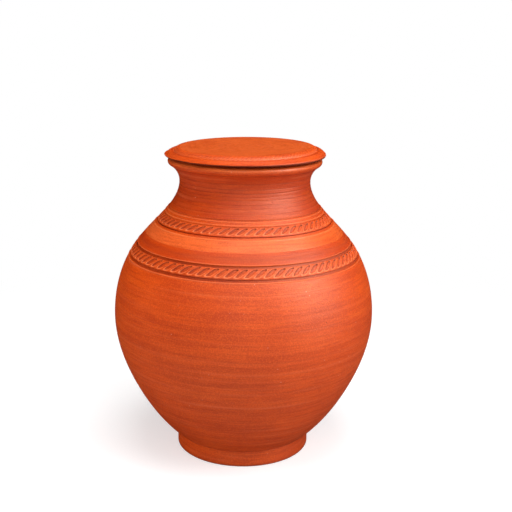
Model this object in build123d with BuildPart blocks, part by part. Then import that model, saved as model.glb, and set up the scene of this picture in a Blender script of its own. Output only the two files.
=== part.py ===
from build123d import *
from math import cos, radians, sin
import os

# Terracotta water jar: a wheel-thrown body on a turned foot ring, two applied
# clay bands with rope marks pressed into them, and a loose lid with a collar.
# Lengths are in millimetres. The origin is the middle of the foot's underside,
# +Z runs up the axis of the jar, and radii are measured from that axis.

# Foot ring
foot_radius = 72.6
foot_height = 18.4
foot_width = 13.0
foot_edge_radius = 1.6
foot_inner_batter = 3.0

# Belly, shoulder and neck, on the outside
base_radius = 74.4
base_spread = 1.15
belly_radius = 139.7
belly_height = 152.0
neck_radius = 69.3
neck_height = 295.5
lower_rise_shares = (0.20, 0.45, 0.70)
lower_swell_shares = (0.373, 0.687, 0.900)
shoulder_rise_shares = (0.30, 0.50, 0.63, 0.75, 0.88)
shoulder_swell_shares = (0.907, 0.714, 0.505, 0.270, 0.070)

# Wall and floor of the body
wall = 8.0
floor_thickness = 10.0
floor_corner_radius = 12.0
lower_station_shares = (0.0, 0.20, 0.40, 0.60, 0.80)
shoulder_station_shares = (0.10, 0.25, 0.40, 0.55, 0.70, 0.85)

# Rim: a round bead, a lower outer edge and a raised flat seat for the lid
rim_rise = 25.5
rim_radius = 81.4
rim_bead_radius = 4.4
rim_top_radius = 3.0
seat_radius = 75.2
mouth_radius = 71.5
mouth_lip_radius = 2.5

# Channels in the shoulder wall and the rope bands seated in them
channel_depth = 1.6
slip_layer = 0.15
band_edge_sink = 0.7
band_crown_rise = 0.2
band_top_share = 0.45
upper_band_share = 0.742
upper_band_width = 10.8
upper_groove_above = 0.35
upper_groove_below = 1.3
upper_leaf_count = 63
lower_band_share = 0.466
lower_band_width = 11.0
lower_groove_above = 2.7
lower_groove_below = 2.7
lower_leaf_count = 79

# Leaf-shaped rope marks pressed into the bands
leaf_depth = 0.85
leaf_width = 5.0
leaf_steep_share = 0.4
leaf_lean_angle = 49.0

# Lid plate
lid_radius = 84.8
lid_lift_gap = 0.2
lid_lower_edge_radius = 2.2
flange_shoulder_radius = 82.3
flange_shoulder_height = 6.2
flange_top_radius = 78.8
flange_height = 8.1
step_foot_radius = 75.8
step_foot_drop = 0.4
step_top_radius = 70.0
lid_height = 11.8
lid_dish_depth = 1.0
lid_recess_depth = 3.2
step_bulge_share = 0.15

# Collar under the lid
collar_clearance = 2.0
collar_thickness = 6.5
collar_depth = 14.0
collar_edge_radius = 2.0

overrun = 5.0

os.makedirs("parts", exist_ok=True)


def outward(run):
    """Direction square to a curve's run, away from the jar's axis."""
    return Vector(run.Y, -run.X)


def wall_point(curve, share, along, out):
    """Point beside a curve: some way along its run and out from it."""
    run = curve % share
    return (curve @ share) + run * along + outward(run) * out


def arc_middle(centre, start, end):
    """Middle point of the short arc about a centre between two points."""
    spoke = (start + end) * 0.5 - centre
    return centre + spoke.normalized() * (start - centre).length


# Outline of the outer wall, drawn once and used by the body and both bands
with BuildLine() as outer_wall:
    swell = belly_radius - base_radius
    rise = belly_height - foot_height
    lower_points = [
        (base_radius + swell * out, foot_height + rise * up)
        for up, out in zip(lower_rise_shares, lower_swell_shares)
    ]
    belly_curve = Spline(
        (base_radius, foot_height),
        *lower_points,
        (belly_radius, belly_height),
        tangents=((base_spread, 1), (0, 1)),
    )
    draw_in = belly_radius - neck_radius
    climb = neck_height - belly_height
    shoulder_points = [
        (neck_radius + draw_in * out, belly_height + climb * up)
        for up, out in zip(shoulder_rise_shares, shoulder_swell_shares)
    ]
    shoulder_curve = Spline(
        (belly_radius, belly_height),
        *shoulder_points,
        (neck_radius, neck_height),
        tangents=((0, 1), (0, 1)),
    )

seat_height = neck_height + rim_rise

# The cove between neck and rim is the arc that leaves the neck upright and
# meets the round bead of the rim without a corner.
bead_reach = rim_radius - rim_bead_radius - neck_radius
bead_climb = rim_rise - rim_bead_radius
cove_radius = (bead_reach**2 + bead_climb**2 - rim_bead_radius**2) / (
    2 * (bead_reach + rim_bead_radius)
)
cove_centre = Vector(neck_radius + cove_radius, neck_height)
bead_centre = Vector(rim_radius - rim_bead_radius, seat_height - rim_bead_radius)
cove_end = bead_centre + (cove_centre - bead_centre).normalized() * rim_bead_radius

# Inside of the neck and mouth
neck_bore_radius = neck_radius - wall
mouth_spread = mouth_radius - neck_bore_radius
mouth_arc_radius = (mouth_spread**2 + rim_rise**2) / (2 * mouth_spread)
mouth_centre = Vector(neck_bore_radius + mouth_arc_radius, neck_height)
floor_height = foot_height + floor_thickness

with BuildPart() as jar_body:
    with BuildSketch(Plane.XZ) as body_section:
        with BuildLine():
            add(outer_wall.line)
            neck_start = Vector(neck_radius, neck_height)
            ThreePointArc(
                neck_start, arc_middle(cove_centre, neck_start, cove_end), cove_end
            )
            bead_side = Vector(rim_radius, bead_centre.Y)
            top_centre = Vector(rim_radius - rim_top_radius, bead_centre.Y)
            bead_top = top_centre + Vector(0, rim_top_radius)
            seat_edge = Vector(seat_radius, seat_height)
            ThreePointArc(cove_end, arc_middle(bead_centre, cove_end, bead_side), bead_side)
            ThreePointArc(bead_side, arc_middle(top_centre, bead_side, bead_top), bead_top)
            Polyline(
                bead_top,
                seat_edge,
                (0, seat_height),
                (0, foot_height),
                (base_radius, foot_height),
            )
        make_face()
        for share, band_width, groove_above, groove_below in (
            (upper_band_share, upper_band_width, upper_groove_above, upper_groove_below),
            (lower_band_share, lower_band_width, lower_groove_above, lower_groove_below),
        ):
            above = band_width / 2 + groove_above
            below = band_width / 2 + groove_below
            with BuildLine():
                Polyline(
                    wall_point(shoulder_curve, share, -below, overrun),
                    wall_point(shoulder_curve, share, -below, -channel_depth),
                    wall_point(shoulder_curve, share, above, -channel_depth),
                    wall_point(shoulder_curve, share, above, overrun),
                    close=True,
                )
            make_face(mode=Mode.SUBTRACT)
    revolve(axis=Axis.Z)
    with BuildSketch(Plane.XZ) as cavity_section:
        with BuildLine():
            mouth_edge = Vector(mouth_radius, seat_height)
            neck_bore = Vector(neck_bore_radius, neck_height)
            ThreePointArc(mouth_edge, arc_middle(mouth_centre, mouth_edge, neck_bore), neck_bore)
            inside_points = [
                wall_point(shoulder_curve, share, 0, -wall)
                for share in reversed(shoulder_station_shares)
            ]
            inside_points.append(Vector(belly_radius - wall, belly_height))
            inside_points += [
                wall_point(belly_curve, share, 0, -wall)
                for share in reversed(lower_station_shares)
            ]
            Spline(neck_bore, *inside_points)
            Polyline(
                inside_points[-1],
                (0, inside_points[-1].Y),
                (0, seat_height + overrun),
                (seat_edge.X, seat_height + overrun),
                seat_edge,
                mouth_edge,
            )
        make_face()
        split(bisect_by=Plane(origin=(0, floor_height, 0), z_dir=(0, 1, 0)))
        mouth_corner = cavity_section.vertices().sort_by_distance(mouth_edge)[0]
        fillet(mouth_corner, mouth_lip_radius)
        floor_corner = cavity_section.vertices().group_by(Axis.Y)[0].sort_by(Axis.X)[-1]
        fillet(floor_corner, floor_corner_radius)
    revolve(axis=Axis.Z, mode=Mode.SUBTRACT)
jar_body.part.label = "jar_body"

with BuildPart() as foot_ring:
    with BuildSketch(Plane.XZ) as foot_section:
        with BuildLine():
            Polyline(
                (foot_radius, 0),
                (foot_radius, foot_height),
                (foot_radius - foot_width - foot_inner_batter, foot_height),
                (foot_radius - foot_width, 0),
                close=True,
            )
        make_face()
        fillet(foot_section.vertices().group_by(Axis.Y)[0], foot_edge_radius)
    revolve(axis=Axis.Z)
foot_ring.part.label = "foot_ring"


def rope_band_section(share, band_width):
    """Draw the section of a rope band: flat against its channel, bevelled outside."""
    half = band_width / 2
    top_half = half * band_top_share
    seat = slip_layer - channel_depth
    Polyline(
        wall_point(shoulder_curve, share, -half, seat),
        wall_point(shoulder_curve, share, -half, -band_edge_sink),
        wall_point(shoulder_curve, share, -top_half, band_crown_rise),
        wall_point(shoulder_curve, share, top_half, band_crown_rise),
        wall_point(shoulder_curve, share, half, -band_edge_sink),
        wall_point(shoulder_curve, share, half, seat),
        close=True,
    )


def leaf_plane(share):
    """Plane square to a leaf mark: X out of the band's crown, Z along the leaning mark."""
    crown = wall_point(shoulder_curve, share, 0, band_crown_rise)
    run = shoulder_curve % share
    out = outward(run)
    out_direction = Vector(out.X, 0, out.Y)
    up_direction = Vector(run.X, 0, run.Y)
    right_direction = up_direction.cross(out_direction)
    lean = up_direction * cos(radians(leaf_lean_angle))
    lean += right_direction * sin(radians(leaf_lean_angle))
    return Plane(origin=(crown.X, 0, crown.Y), x_dir=out_direction, z_dir=lean)


def leaf_section():
    """Draw the wedge that presses a leaf mark: its point is at the mark's valley."""
    steep_side = leaf_width * leaf_steep_share
    gentle_side = leaf_width - steep_side
    Polyline(
        (-leaf_depth, 0),
        (leaf_depth, 2 * steep_side),
        (leaf_depth, -2 * gentle_side),
        close=True,
    )


with BuildPart() as upper_leaf_mark:
    with BuildSketch(leaf_plane(upper_band_share)):
        with BuildLine():
            leaf_section()
        make_face()
    extrude(amount=upper_band_width, both=True)

with BuildPart() as upper_rope_band:
    with BuildSketch(Plane.XZ):
        with BuildLine():
            rope_band_section(upper_band_share, upper_band_width)
        make_face()
    revolve(axis=Axis.Z)
    with PolarLocations(0, upper_leaf_count):
        add(upper_leaf_mark.part, mode=Mode.SUBTRACT)
upper_rope_band.part.label = "upper_rope_band"

with BuildPart() as lower_leaf_mark:
    with BuildSketch(leaf_plane(lower_band_share)):
        with BuildLine():
            leaf_section()
        make_face()
    extrude(amount=lower_band_width, both=True)

with BuildPart() as lower_rope_band:
    with BuildSketch(Plane.XZ):
        with BuildLine():
            rope_band_section(lower_band_share, lower_band_width)
        make_face()
    revolve(axis=Axis.Z)
    with PolarLocations(0, lower_leaf_count):
        add(lower_leaf_mark.part, mode=Mode.SUBTRACT)
lower_rope_band.part.label = "lower_rope_band"

# Lid: its underside stands a hair above the rim's flat top
lid_base = seat_height + lid_lift_gap
collar_radius = neck_bore_radius - collar_clearance
collar_bore_radius = collar_radius - collar_thickness

with BuildPart() as lid_plate:
    with BuildSketch(Plane.XZ) as lid_section:
        with BuildLine():
            edge_centre = Vector(lid_radius - lid_lower_edge_radius, lid_base + lid_lower_edge_radius)
            edge_bottom = Vector(edge_centre.X, lid_base)
            edge_side = Vector(lid_radius, edge_centre.Y)
            ThreePointArc(edge_bottom, arc_middle(edge_centre, edge_bottom, edge_side), edge_side)
            flange_shoulder = Vector(flange_shoulder_radius, lid_base + flange_shoulder_height)
            flange_top = Vector(flange_top_radius, lid_base + flange_height)
            Spline(edge_side, flange_shoulder, flange_top, tangents=((0, 1), (-1, 0)))
            step_foot = Vector(step_foot_radius, flange_top.Y - step_foot_drop)
            Line(flange_top, step_foot)
            step_top = Vector(step_top_radius, lid_base + lid_height)
            step_out = (step_foot - step_top).length * step_bulge_share
            step_side = (step_foot + step_top) * 0.5 + outward(
                (step_top - step_foot).normalized()
            ) * step_out
            ThreePointArc(step_foot, step_side, step_top)
            Spline(
                step_top,
                (0, lid_base + lid_height - lid_dish_depth),
                tangents=((-1, 0), (-1, 0)),
            )
            Polyline(
                (0, lid_base + lid_height - lid_dish_depth),
                (0, lid_base + lid_recess_depth),
                (collar_bore_radius - lid_recess_depth, lid_base + lid_recess_depth),
                (collar_bore_radius, lid_base),
                edge_bottom,
            )
        make_face()
    revolve(axis=Axis.Z)
lid_plate.part.label = "lid_plate"

with BuildPart() as lid_collar:
    with BuildSketch(Plane.XZ) as collar_section:
        with BuildLine():
            Polyline(
                (collar_radius, lid_base),
                (collar_radius, lid_base - collar_depth),
                (collar_bore_radius, lid_base - collar_depth),
                (collar_bore_radius, lid_base),
                close=True,
            )
        make_face()
        fillet(collar_section.vertices().group_by(Axis.Y)[0], collar_edge_radius)
    revolve(axis=Axis.Z)
lid_collar.part.label = "lid_collar"

for piece in (jar_body, foot_ring, upper_rope_band, lower_rope_band, lid_plate, lid_collar):
    export_step(piece.part, f"parts/{piece.part.label}.step")
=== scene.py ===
"""Looks of a terracotta water jar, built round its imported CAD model.

The jar is a wheel-thrown body on a turned foot ring. Two clay bands with rope marks pressed
into them go round its shoulder, and a disc lid with a collar rests on its rim. Each piece is
drawn here as an upright section, turned about the jar's axis by Geometry Nodes, and finished
as unglazed, wheel-burnished clay.

Sizes are in millimetres until a mesh is made. Blender's own data is in metres.
"""

import logging
import math
from collections.abc import Callable
from dataclasses import dataclass, field
from enum import Enum

import bpy
import numpy as np
from mathutils import Matrix, Vector


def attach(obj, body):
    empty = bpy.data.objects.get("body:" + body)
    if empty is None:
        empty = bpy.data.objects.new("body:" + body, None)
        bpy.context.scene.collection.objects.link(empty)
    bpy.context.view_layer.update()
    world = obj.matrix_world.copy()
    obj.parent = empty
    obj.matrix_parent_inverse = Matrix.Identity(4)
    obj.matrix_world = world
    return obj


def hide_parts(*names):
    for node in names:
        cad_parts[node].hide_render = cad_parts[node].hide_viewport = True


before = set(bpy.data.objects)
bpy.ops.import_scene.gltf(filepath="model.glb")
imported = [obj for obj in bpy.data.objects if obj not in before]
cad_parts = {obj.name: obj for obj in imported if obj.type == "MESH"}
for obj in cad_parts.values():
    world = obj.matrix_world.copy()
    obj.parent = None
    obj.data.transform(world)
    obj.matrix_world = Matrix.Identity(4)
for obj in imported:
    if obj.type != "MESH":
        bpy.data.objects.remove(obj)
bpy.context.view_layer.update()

log = logging.getLogger("water_jar")

MM = 0.001

Point = tuple[float, float]
Colour = tuple[float, float, float, float]
Tree = bpy.types.NodeTree
Inputs = dict[str | int, object]


# ---------------------------------------------------------------------------
# Sections
# ---------------------------------------------------------------------------


class Skin(Enum):
    """What the clay's surface is like at a point of a section."""

    WHEEL = "wheel"
    BURNISHED = "burnish"
    BRUSHED = "brushed"
    INSIDE = "inside"


def smooth_line(
    points: list[Point],
    start: Point | None = None,
    end: Point | None = None,
    spacing: float = 0.5,
) -> list[Point]:
    """Draw a cubic spline through points, as a draughtsman's curve goes through them.

    Args:
        points: places on the line, as (radius, height).
        start: direction in which the line leaves its first point, or None for a free end.
        end: direction in which it reaches its last point, or None for a free end.
        spacing: rough distance between the points that come back.

    Returns:
        Points along the line.
    """
    places = np.array(points, float)
    count = len(places)
    gaps = np.hypot(*np.diff(places, axis=0).T)
    slopes = np.diff(places, axis=0) / gaps[:, None]
    system = np.zeros((count, count))
    right = np.zeros((count, 2))
    for i in range(1, count - 1):
        system[i, i - 1 : i + 2] = gaps[i - 1], 2 * (gaps[i - 1] + gaps[i]), gaps[i]
        right[i] = 6 * (slopes[i] - slopes[i - 1])
    system[0, 0] = system[-1, -1] = 1.0
    if start is not None:
        system[0, :2] = 2 * gaps[0], gaps[0]
        right[0] = 6 * (slopes[0] - np.array(start) / np.hypot(*start))
    if end is not None:
        system[-1, -2:] = gaps[-1], 2 * gaps[-1]
        right[-1] = 6 * (np.array(end) / np.hypot(*end) - slopes[-1])
    bends = np.linalg.solve(system, right)
    line: list[Point] = []
    for i, gap in enumerate(gaps):
        steps = max(1, round(gap / spacing))
        for along in np.arange(steps) / steps * gap:
            left = gap - along
            place = (
                (bends[i] * left**3 + bends[i + 1] * along**3) / (6 * gap)
                + (places[i] / gap - bends[i] * gap / 6) * left
                + (places[i + 1] / gap - bends[i + 1] * gap / 6) * along
            )
            line.append((place[0], place[1]))
    line.append(points[-1])
    return line


def arc(centre: Point, radius: float, start: float, stop: float, steps: int) -> list[Point]:
    """Points on an arc about a centre, between two angles in degrees.

    Args:
        centre: the arc's centre.
        radius: its radius.
        start: angle of the first point, counted up from the outward direction.
        stop: angle of the last point.
        steps: how many steps lie between them.

    Returns:
        The points, both ends included.
    """
    angles = np.radians(np.linspace(start, stop, steps + 1))
    return [
        (centre[0] + radius * math.cos(a), centre[1] + radius * math.sin(a)) for a in angles
    ]


def round_corner(
    before: Point, corner: Point, after: Point, radius: float, steps: int
) -> list[Point]:
    """Points of the arc that rounds the corner between two straight runs.

    Args:
        before: a point on the run that comes in.
        corner: where the runs would meet.
        after: a point on the run that goes out.
        radius: the arc's radius.
        steps: how many steps the arc has.

    Returns:
        The arc's points, from the run that comes in to the one that goes out.
    """
    back = (Vector(before) - Vector(corner)).normalized()
    onward = (Vector(after) - Vector(corner)).normalized()
    half = back.angle(onward) / 2
    centre = Vector(corner) + (back + onward).normalized() * (radius / math.sin(half))
    first = Vector(corner) + back * (radius / math.tan(half)) - centre
    last = Vector(corner) + onward * (radius / math.tan(half)) - centre
    sweep = first.angle(last)
    points = []
    for share in (i / steps for i in range(steps + 1)):
        near, far = math.sin((1 - share) * sweep), math.sin(share * sweep)
        points.append(tuple(centre + (first * near + last * far) / math.sin(sweep)))
    return points


def runs_along(points: list[Point]) -> np.ndarray:
    """Distance of each point from the first, along the points."""
    steps = [math.dist(a, b) for a, b in zip(points, points[1:])]
    return np.concatenate(([0.0], np.cumsum(steps)))


class SectionPath:
    """A line in a piece's upright section that can be measured along itself."""

    SAME_PLACE = 0.001
    DIRECTION_REACH = 0.6

    def __init__(self, points: list[Point]) -> None:
        """Keep the line's points, without doubles, and how far along each one is.

        Args:
            points: the line's points, as (radius, height).
        """
        kept = [points[0]]
        for point in points[1:]:
            if math.dist(point, kept[-1]) > self.SAME_PLACE:
                kept.append(point)
        self.points = np.array(kept, float)
        self.runs = runs_along(kept)
        self.length = float(self.runs[-1])

    def at(self, run: float) -> Vector:
        """Point at a distance along the line."""
        return Vector([np.interp(run, self.runs, self.points[:, i]) for i in (0, 1)])

    def direction(self, run: float) -> Vector:
        """Direction in which the line goes at a distance along it."""
        reach = self.DIRECTION_REACH
        return (self.at(run + reach) - self.at(run - reach)).normalized()

    def beside(self, run: float, out: float) -> Point:
        """Point at a distance along the line and a distance out from it."""
        way = self.direction(run)
        place = self.at(run) + Vector((way.y, -way.x)) * out
        return (max(place.x, 0.0), place.y)

    def run_at_height(self, height: float) -> float:
        """Distance along the line where it first rises to a height."""
        reached = int(np.argmax(self.points[:, 1] >= height))
        pair = slice(reached - 1, reached + 1)
        return float(np.interp(height, self.points[pair, 1], self.runs[pair]))


def add_object(name: str, data: bpy.types.ID) -> bpy.types.Object:
    """Make an object of a mesh, a lamp or a camera and put it in the scene."""
    made = bpy.data.objects.new(name, data)
    bpy.context.scene.collection.objects.link(made)
    return made


SECTION_VALUES = ("run", "painted_shade", "burnish", "brushed", "inside", "across", "painted_highlight")


@dataclass
class SectionDraft:
    """The section that a piece is turned from, with what its surface is like point by point.

    Attributes:
        points: the section's points, as (radius, height).
        skins: what the surface is like at each.
        painted_shade: painted shade, 1 where a cut, a mark or a gap is shaded, and 2 where it is
            painted black.
        across: distance from the middle of a marked band, measured along the section.
        painted_highlight: 1 where a raised edge gets a painted highlight.
    """

    points: list[Point] = field(default_factory=list)
    skins: list[Skin] = field(default_factory=list)
    painted_shade: list[float] = field(default_factory=list)
    across: list[float] = field(default_factory=list)
    painted_highlight: list[float] = field(default_factory=list)

    UNMARKED = 1000.0
    SAME_PLACE = 0.01

    def add(
        self,
        points: list[Point],
        skin: Skin = Skin.WHEEL,
        painted_shade: float = 0.0,
        across: float = UNMARKED,
        painted_highlight: float = 0.0,
    ) -> None:
        """Go on along the section.

        Args:
            points: the next points.
            skin: what the surface is like there.
            painted_shade: how much painted shade the clay gets there.
            across: distance from the middle of a marked band.
            painted_highlight: how much painted highlight a raised edge gets.
        """
        for point in points:
            if self.points and math.dist(point, self.points[-1]) < self.SAME_PLACE:
                continue
            self.points.append(point)
            self.skins.append(skin)
            self.painted_shade.append(painted_shade)
            self.across.append(across)
            self.painted_highlight.append(painted_highlight)

    def make_object(self, name: str) -> bpy.types.Object:
        """Make the section a line of edges that a modifier can turn.

        Args:
            name: the object's name.

        Returns:
            The object, in the XZ plane, with one attribute for each of SECTION_VALUES.
        """
        places = [(radius * MM, 0.0, height * MM) for radius, height in self.points]
        edges = [(i, i + 1) for i in range(len(places) - 1)]
        mesh = bpy.data.meshes.new(name)
        mesh.from_pydata(places, edges, [])
        values = {
            "run": [run * MM for run in runs_along(self.points)],
            "painted_shade": self.painted_shade,
            "across": [distance * MM for distance in self.across],
            "painted_highlight": self.painted_highlight,
        }
        for skin in (Skin.BURNISHED, Skin.BRUSHED, Skin.INSIDE):
            values[skin.value] = [float(found is skin) for found in self.skins]
        for title in SECTION_VALUES:
            attribute = mesh.attributes.new(title, "FLOAT", "POINT")
            attribute.data.foreach_set("value", values[title])
        return add_object(name, mesh)


@dataclass(frozen=True)
class WheelCut:
    """A line that a tool cut or raised in the clay as the piece turned.

    Attributes:
        height: height of the line's middle on the wall.
        width: width along the wall.
        depth: depth into the wall, or below zero for a raised line.
        dark: painted shade at its bottom.
        painted_highlight: painted highlight along its crest.
    """

    height: float
    width: float
    depth: float
    dark: float = 0.0
    painted_highlight: float = 0.0


@dataclass(frozen=True)
class WheelZone:
    """A stretch of wall between two heights with a skin of its own."""

    low: float
    high: float
    skin: Skin


# ---------------------------------------------------------------------------
# Nodes
# ---------------------------------------------------------------------------

FLOAT = "NodeSocketFloat"
INT = "NodeSocketInt"
GEOMETRY = "NodeSocketGeometry"
MATERIAL = "NodeSocketMaterial"
VECTOR = "NodeSocketVector"

FLAT = (1.0, 1.0, 0.0)
MERGE_DISTANCE = 0.004 * MM
RING_REACH = (0.55, 0.55, 0.0)
LEAF_SIDE_POWER, LEAF_END_POWER = 2.4, 4.0
LEAF_WIDTH_LUCK, LEAF_DEPTH_LUCK = 0.10, 0.15


def node_sum(operation: str, turned: bool = False) -> Callable[["Wire", object], "Wire"]:
    """Make an operator of Wire that adds a Math node.

    Args:
        operation: Blender's name for the sum.
        turned: whether the other number comes first.

    Returns:
        The operator.
    """

    def work_out(self: "Wire", other: object) -> "Wire":
        """Add the Math node."""
        return self.board.calc(operation, *((other, self) if turned else (self, other)))

    return work_out


class Wire:
    """A socket that can be reckoned with, so that node sums read like plain ones."""

    __add__, __mul__ = node_sum("ADD"), node_sum("MULTIPLY")
    __sub__, __rsub__ = node_sum("SUBTRACT"), node_sum("SUBTRACT", True)
    __truediv__, __rtruediv__ = node_sum("DIVIDE"), node_sum("DIVIDE", True)
    __pow__ = node_sum("POWER")

    def __init__(self, board: "Board", socket: bpy.types.NodeSocket) -> None:
        """Keep the socket and the board that it lies on."""
        self.board, self.socket = board, socket

    def __abs__(self) -> "Wire":
        """Size of the number without its sign."""
        return self.board.calc("ABSOLUTE", self)


class Board:
    """A node tree, with short ways to add to it.

    Attributes:
        tree: the tree.
        start: the node that holds a group's inputs.
        end: the node that takes its outputs.
    """

    start: bpy.types.Node
    end: bpy.types.Node

    def __init__(self, tree: Tree) -> None:
        """Take a tree and clear it."""
        self.tree = tree
        tree.nodes.clear()

    @classmethod
    def group(cls, kind: str, name: str, ins: dict[str, str], outs: dict[str, str]) -> "Board":
        """Start a node group with named sockets.

        Args:
            kind: Blender's name for the kind of tree.
            name: the tree's name.
            ins: type of each input, by name.
            outs: type of each output, by name.

        Returns:
            The group's board.
        """
        board = cls(bpy.data.node_groups.new(name, kind))
        for way, sockets in (("INPUT", ins), ("OUTPUT", outs)):
            for title, socket_type in sockets.items():
                board.tree.interface.new_socket(title, in_out=way, socket_type=socket_type)
        board.start = board.tree.nodes.new("NodeGroupInput")
        board.end = board.tree.nodes.new("NodeGroupOutput")
        return board

    @classmethod
    def geometry(cls, name: str, ins: dict[str, str]) -> "Board":
        """Start a Geometry Nodes tree that puts out a surface."""
        return cls.group("GeometryNodeTree", name, ins, {"Surface": GEOMETRY})

    @classmethod
    def shading(cls, name: str, ins: dict[str, str], outs: tuple[str, ...]) -> "Board":
        """Start a shader group that puts out numbers."""
        return cls.group("ShaderNodeTree", name, ins, dict.fromkeys(outs, FLOAT))

    def given(self, name: str) -> Wire:
        """Read one of the group's own inputs."""
        return Wire(self, self.start.outputs[name])

    def give(self, **values: Wire) -> Tree:
        """Join the group's outputs and hand over its tree."""
        for name, value in values.items():
            self.tree.links.new(value.socket, self.end.inputs[name])
        return self.tree

    def add(self, kind: str, inputs: Inputs | None = None, **settings: object) -> bpy.types.Node:
        """Add a node, set it up and join its inputs.

        Args:
            kind: Blender's name for the node.
            inputs: a value or a wire for each input, by name or number.
            settings: the node's own settings.

        Returns:
            The new node.
        """
        node = self.tree.nodes.new(kind)
        for name, value in settings.items():
            setattr(node, name, value)
        for key, value in (inputs or {}).items():
            if isinstance(value, Wire):
                self.tree.links.new(value.socket, node.inputs[key])
            else:
                node.inputs[key].default_value = value
        return node

    def read(
        self, kind: str, inputs: Inputs | None = None, output: str | int = 0, **settings: object
    ) -> Wire:
        """Add a node, as add does, and read one of its outputs."""
        return Wire(self, self.add(kind, inputs, **settings).outputs[output])

    def calc(self, operation: str, *values: object, clamp: bool = False) -> Wire:
        """Add a Math node, whose result may be kept between 0 and 1."""
        inputs = dict(enumerate(values))
        return self.read("ShaderNodeMath", inputs, operation=operation, use_clamp=clamp)

    def ramp(self, value: object, low: object, high: object) -> Wire:
        """Add a smooth step that goes from 0 at low to 1 at high."""
        inputs = {"Value": value, "From Min": low, "From Max": high}
        kind = {"interpolation_type": "SMOOTHSTEP", "clamp": True}
        return self.read("ShaderNodeMapRange", inputs, "Result", **kind)

    def vector(self, operation: str, *values: object) -> Wire:
        """Add a Vector Math node."""
        output = "Value" if operation == "LENGTH" else "Vector"
        inputs = dict(enumerate(values))
        return self.read("ShaderNodeVectorMath", inputs, output, operation=operation)

    def xyz(self, x: object = 0.0, y: object = 0.0, z: object = 0.0) -> Wire:
        """Join three numbers into a vector."""
        return self.read("ShaderNodeCombineXYZ", {"X": x, "Y": y, "Z": z})

    def parts(self, value: Wire, kind: str = "XYZ") -> list[Wire]:
        """Take a vector, or for the kind Color a colour, apart into three numbers."""
        node = self.add(f"ShaderNodeSeparate{kind}", {0: value})
        return [Wire(self, output) for output in node.outputs]

    def noise(
        self, place: Wire, scale: object, detail: float, roughness: float = 0.5
    ) -> Wire:
        """Add soft noise that goes from 0 to 1."""
        inputs = {"Vector": place, "Scale": scale, "Detail": detail, "Roughness": roughness}
        return self.read("ShaderNodeTexNoise", inputs, "Fac")

    def tint(self, share: object, under: object, over: object) -> Wire:
        """Lay a share of one colour over another."""
        inputs = {0: share, 6: under, 7: over}
        return self.read("ShaderNodeMix", inputs, 2, data_type="RGBA", blend_type="MIX")

    def ray(self, kind: str) -> Wire:
        """Say whether a ray is of a kind, such as one from the camera."""
        return self.read("ShaderNodeLightPath", None, f"Is {kind} Ray")

    def stored(self, name: str) -> Wire:
        """Read a number that the mesh holds under a name, in Geometry Nodes."""
        kind = "GeometryNodeInputNamedAttribute"
        return self.read(kind, {"Name": name}, "Attribute", data_type="FLOAT")

    def store(self, surface: Wire, name: str, value: Wire) -> Wire:
        """Store a number on each point of a surface, in Geometry Nodes."""
        inputs = {"Geometry": surface, "Name": name, "Value": value}
        kind = "GeometryNodeStoreNamedAttribute"
        return self.read(kind, inputs, data_type="FLOAT", domain="POINT")

    def place(self) -> Wire:
        """Read where a point lies, in Geometry Nodes."""
        return self.read("GeometryNodeInputPosition")

    def move(self, surface: Wire, **places: Wire) -> Wire:
        """Move a surface's points to a Position or by an Offset, in Geometry Nodes."""
        return self.read("GeometryNodeSetPosition", {"Geometry": surface, **places})

    def press(self, surface: Wire, depth: Wire) -> Wire:
        """Move a surface's points in against their normals, in Geometry Nodes."""
        normal = self.read("GeometryNodeInputNormal")
        inputs = {0: normal, "Scale": depth * -1.0}
        return self.move(
            surface, Offset=self.read("ShaderNodeVectorMath", inputs, operation="SCALE")
        )


def turning_group() -> Tree:
    """Make the tree that turns a section about the jar's axis into a closed surface."""
    board = Board.geometry("turn_section", {"Section": GEOMETRY, "Sides": INT})
    section = board.given("Section")
    count = board.read("GeometryNodeAttributeDomainSize", {"Geometry": section}, "Point Count")
    sides = board.given("Sides") + 1
    grid = {"Size X": 1.0, "Size Y": 1.0, "Vertices X": sides, "Vertices Y": count}
    surface = board.read("GeometryNodeMeshGrid", grid, "Mesh")
    across, up, _ = board.parts(board.place())
    number = board.calc("ROUND", (up + 0.5) * (count - 1))

    def pick(value: Wire, kind: str) -> Wire:
        """Read a value of the section's own point."""
        inputs = {"Geometry": section, "Value": value, "Index": number}
        return board.read("GeometryNodeSampleIndex", inputs, data_type=kind)

    for name in SECTION_VALUES:
        surface = board.store(surface, name, pick(board.stored(name), "FLOAT"))
    radius, _, height = board.parts(pick(board.place(), "FLOAT_VECTOR"))
    angle = (across + 0.5) * math.tau
    right = radius * board.calc("COSINE", angle)
    back = radius * board.calc("SINE", angle)
    surface = board.move(surface, Position=board.xyz(right, back, height))
    merge = {"Geometry": surface, "Distance": MERGE_DISTANCE}
    return board.give(Surface=board.read("GeometryNodeMergeByDistance", merge))


def wheel_rings_group() -> Tree:
    """Make the tree that leaves a thrower's rings in a turned surface."""
    names = ("Ring Depth", "Ring Spacing", "Ring Seed")
    board = Board.geometry("wheel_rings", {"Surface": GEOMETRY} | dict.fromkeys(names, FLOAT))
    given = board.given
    way = board.vector("NORMALIZE", board.vector("MULTIPLY", board.place(), FLAT))
    level = board.xyz(0.0, given("Ring Seed"), board.stored("run") / given("Ring Spacing"))
    spread = board.vector("MULTIPLY_ADD", way, RING_REACH, level)
    unfinished = board.stored("inside") * 1.6 + 1.0
    plain = board.stored("burnish") * -0.7 + 1.0
    depth = given("Ring Depth") * board.noise(spread, 1.0, 2.0, 0.55) * unfinished * plain
    return board.give(Surface=board.press(given("Surface"), depth))


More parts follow.
